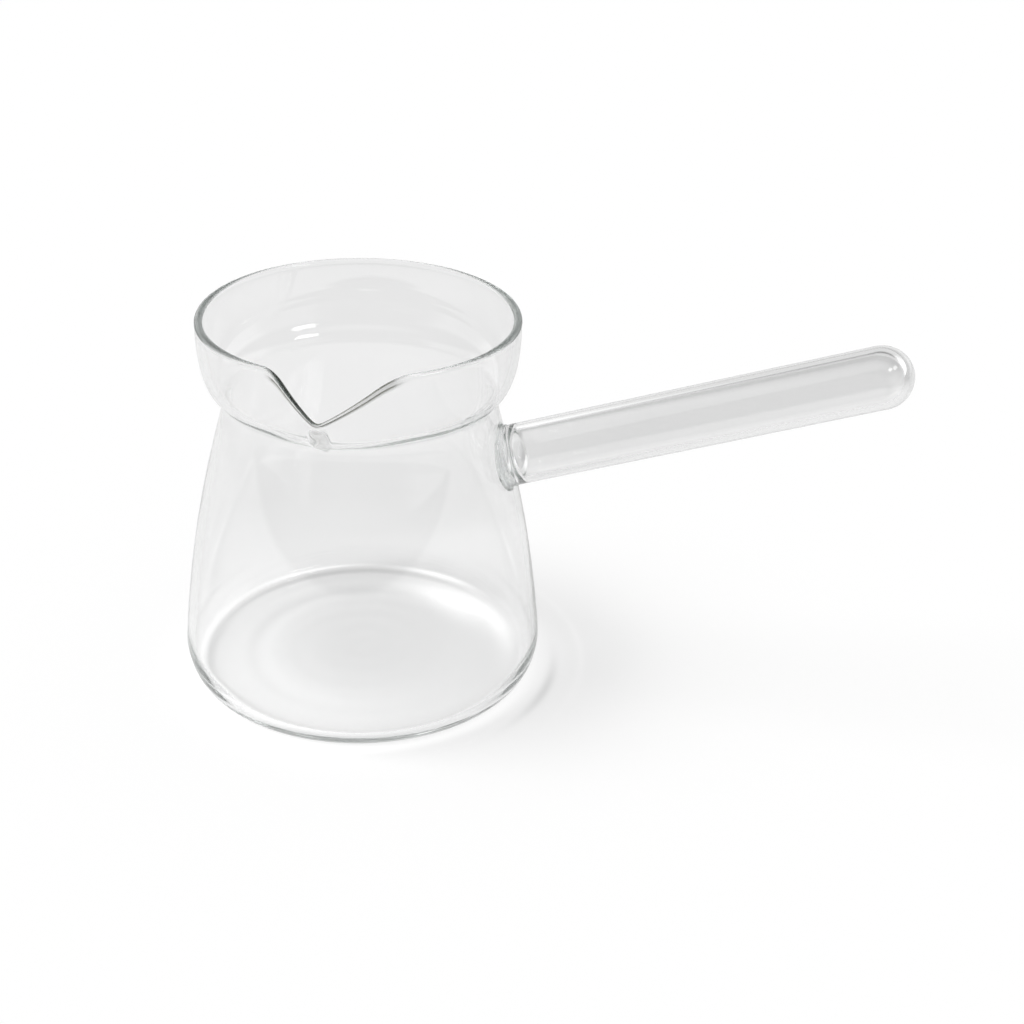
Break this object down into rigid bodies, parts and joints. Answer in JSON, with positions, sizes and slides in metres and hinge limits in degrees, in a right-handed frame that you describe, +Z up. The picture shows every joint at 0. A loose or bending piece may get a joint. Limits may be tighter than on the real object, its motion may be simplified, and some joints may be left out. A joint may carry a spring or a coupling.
{
  "type": "turkish coffee pot",
  "caption": "Clear glass pot for Turkish coffee: a blown vessel with a drawn-in neck, a flared collar and a pressed pouring lip, and a hollow glass tube handle welded to its wall.",
  "frame": {"origin": "centre of the flat underside that the pot stands on", "axes": "+Z up along the vessel's axis, +X the way the handle leaves the wall, -Y the way the pouring lip faces"},
  "size_m": [0.1888, 0.0972, 0.1046],
  "materials": {
    "vessel_glass": "clear borosilicate glass, blown and fire polished, with a faint grey-green tint along its edges",
    "handle_glass": "clear borosilicate glass tube, drawn and flame rounded",
    "weld_glass": "clear solid glass of a flame weld, with green edges where it is thick"
  },
  "bodies": {
    "root": {"pot_body": "vessel_glass", "weld_foot": "weld_glass", "handle_root_cap": "handle_glass", "handle_tube": "handle_glass"}
  },
  "joints": []
}
